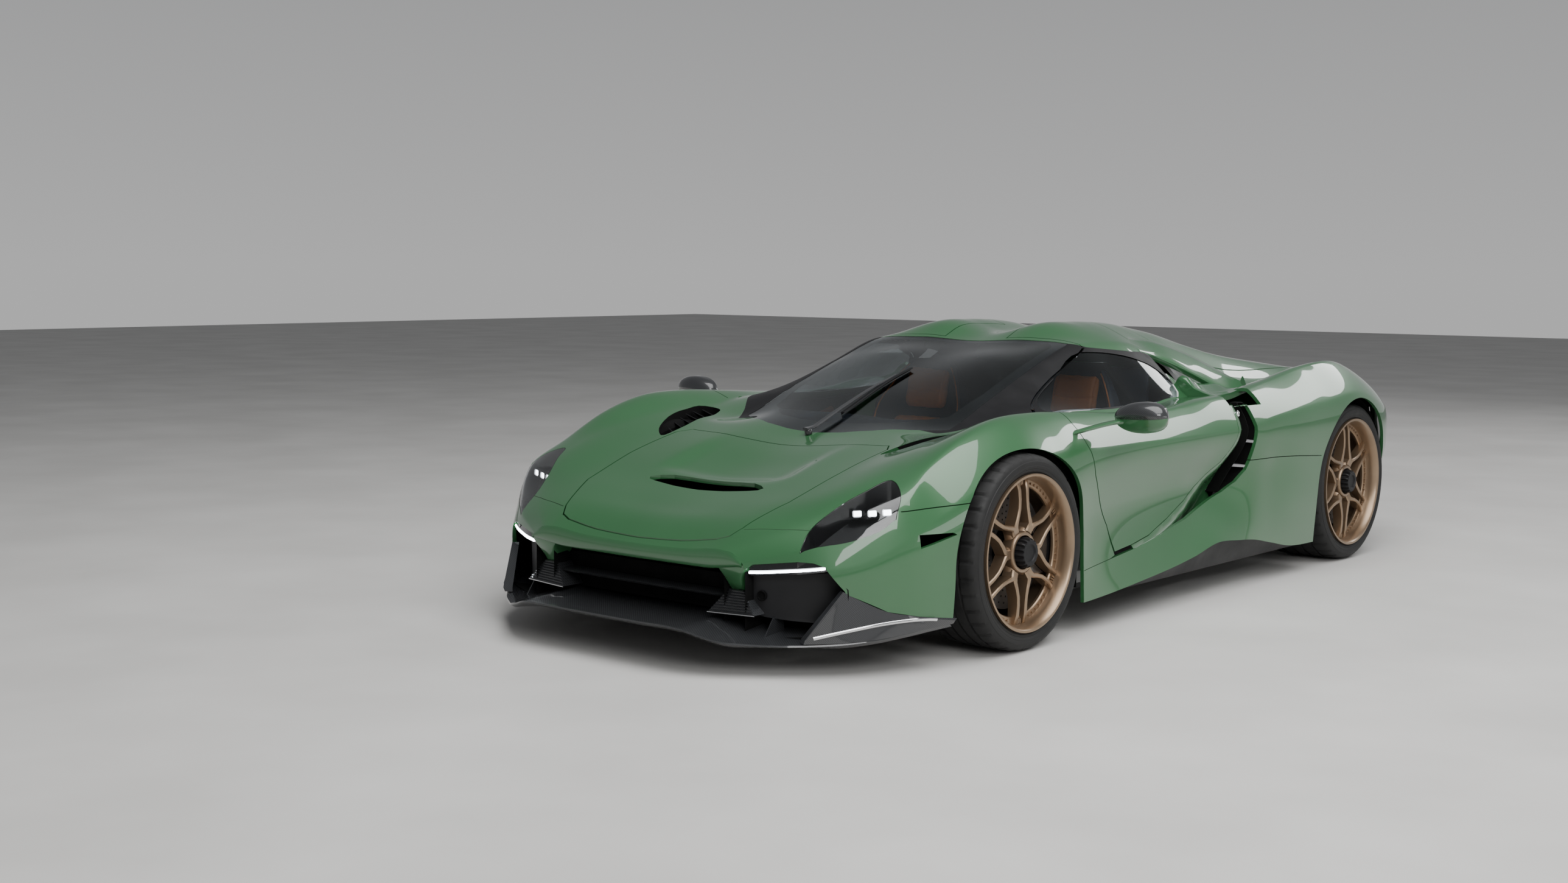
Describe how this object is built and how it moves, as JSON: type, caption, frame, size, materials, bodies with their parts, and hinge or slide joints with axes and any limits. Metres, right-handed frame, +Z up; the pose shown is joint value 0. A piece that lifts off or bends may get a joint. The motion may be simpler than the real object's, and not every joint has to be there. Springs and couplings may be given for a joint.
{
  "type": "mid-engined sports car",
  "caption": "Low mid-engined coupe with lifting roof-hinged doors, hood and engine lids, steered front wheels, splitter, side intakes, buttresses and rear diffuser.",
  "frame": {"origin": "on the ground under the middle of the car, on its centre plane", "axes": "+X to the car's left, nose towards -Y, +Z up"},
  "size_m": [2.366, 4.5, 1.066],
  "materials": {
    "paint": "gloss mid-green paint with fine flake over composite panels",
    "carbon": "clear-coated carbon weave",
    "black_trim": "satin black moulding",
    "glass": "dark tinted glass",
    "lamp_glass": "clear lamp cover over reflectors",
    "tail_light": "red light bar",
    "tyre": "black rubber",
    "bronze": "satin bronze forged wheel",
    "disc": "machined brake disc",
    "caliper": "black caliper",
    "frame_alloy": "cast and extruded alloy",
    "steel": "brushed exhaust steel",
    "leather_tan": "orange tan leather",
    "leather_dark": "dark blue leather"
  },
  "bodies": {
    "body": {"front_clamshell": "paint", "roof_frame": "paint", "windscreen": "glass", "side_sills": "paint", "rear_clamshell": "paint", "headlamps": "lamp_glass", "splitter": "carbon", "nose_grilles": "black_trim", "floor_pan": "carbon", "diffuser": "carbon", "tail_lamps": "tail_light", "exhaust_tips": "steel", "intake_vanes": "black_trim", "buttresses": "paint", "tub": "carbon", "front_subframe": "frame_alloy", "luggage_tray": "black_trim", "rear_subframe": "frame_alloy", "engine_block": "frame_alloy", "front_wishbones": "frame_alloy", "rear_wishbones": "frame_alloy", "rear_knuckles": "frame_alloy", "rear_calipers": "caliper", "seat_shells": "leather_dark", "seat_pads": "leather_tan", "dashboard": "leather_dark", "wiper": "black_trim"},
    "hood": {"hood_lid": "paint"},
    "engine_lid": {"engine_cover": "paint", "rear_window": "glass"},
    "door_left": {"door_left": "paint", "door_glass_left": "glass", "mirror_left": "carbon"},
    "door_right": {"door_right": "paint", "door_glass_right": "glass", "mirror_right": "carbon"},
    "steering_wheel": {"steering_wheel": "leather_dark"},
    "knuckle_left": {"knuckle_left": "frame_alloy", "caliper_left": "caliper"},
    "knuckle_right": {"knuckle_right": "frame_alloy", "caliper_right": "caliper"},
    "wheel_front_left": {"tyre_front_left": "tyre", "rim_front_left": "bronze", "disc_front_left": "disc"},
    "wheel_front_right": {"tyre_front_right": "tyre", "rim_front_right": "bronze", "disc_front_right": "disc"},
    "wheel_rear_left": {"tyre_rear_left": "tyre", "rim_rear_left": "bronze", "disc_rear_left": "disc"},
    "wheel_rear_right": {"tyre_rear_right": "tyre", "rim_rear_right": "bronze", "disc_rear_right": "disc"}
  },
  "joints": [
    {"name": "door_left_lift", "type": "hinge", "parent": "body", "child": "door_left", "pos_m": [0.153, 0.1, 1.04602], "axis": [0, -1, 0], "range_deg": [0, 62]},
    {"name": "door_right_lift", "type": "hinge", "parent": "body", "child": "door_right", "pos_m": [-0.153, 0.1, 1.04602], "axis": [0, 1, 0], "range_deg": [0, 62]},
    {"name": "hood_lift", "type": "hinge", "parent": "body", "child": "hood", "pos_m": [0, -1.298, 0.66946], "axis": [-1, 0, 0], "range_deg": [0, 50]},
    {"name": "engine_lid_lift", "type": "hinge", "parent": "body", "child": "engine_lid", "pos_m": [0, 0.578, 1.04272], "axis": [1, 0, 0], "range_deg": [0, 45]},
    {"name": "steer_left", "type": "hinge", "parent": "body", "child": "knuckle_left", "pos_m": [0.81, -1.2, 0.335], "axis": [0, 0, 1], "range_deg": [-26, 26]},
    {"name": "steer_right", "type": "hinge", "parent": "body", "child": "knuckle_right", "pos_m": [-0.81, -1.2, 0.335], "axis": [0, 0, 1], "range_deg": [-26, 26]},
    {"name": "steering_wheel_turn", "type": "hinge", "parent": "body", "child": "steering_wheel", "pos_m": [0.37, -0.51, 0.6], "axis": [0, 0.9272, 0.3746], "range_deg": [-365, 365]},
    {"name": "spin_front_left", "type": "hinge", "parent": "knuckle_left", "child": "wheel_front_left", "pos_m": [0, -1.2, 0.335], "axis": [1, 0, 0], "continuous": true},
    {"name": "spin_front_right", "type": "hinge", "parent": "knuckle_right", "child": "wheel_front_right", "pos_m": [0, -1.2, 0.335], "axis": [1, 0, 0], "continuous": true},
    {"name": "spin_rear_left", "type": "hinge", "parent": "body", "child": "wheel_rear_left", "pos_m": [0, 1.45, 0.348], "axis": [1, 0, 0], "continuous": true},
    {"name": "spin_rear_right", "type": "hinge", "parent": "body", "child": "wheel_rear_right", "pos_m": [0, 1.45, 0.348], "axis": [1, 0, 0], "continuous": true}
  ],
  "couplings": [
    {"joint": "steer_right", "follows": "steer_left", "ratio": 1},
    {"joint": "steering_wheel_turn", "follows": "steer_left", "ratio": 14}
  ]
}
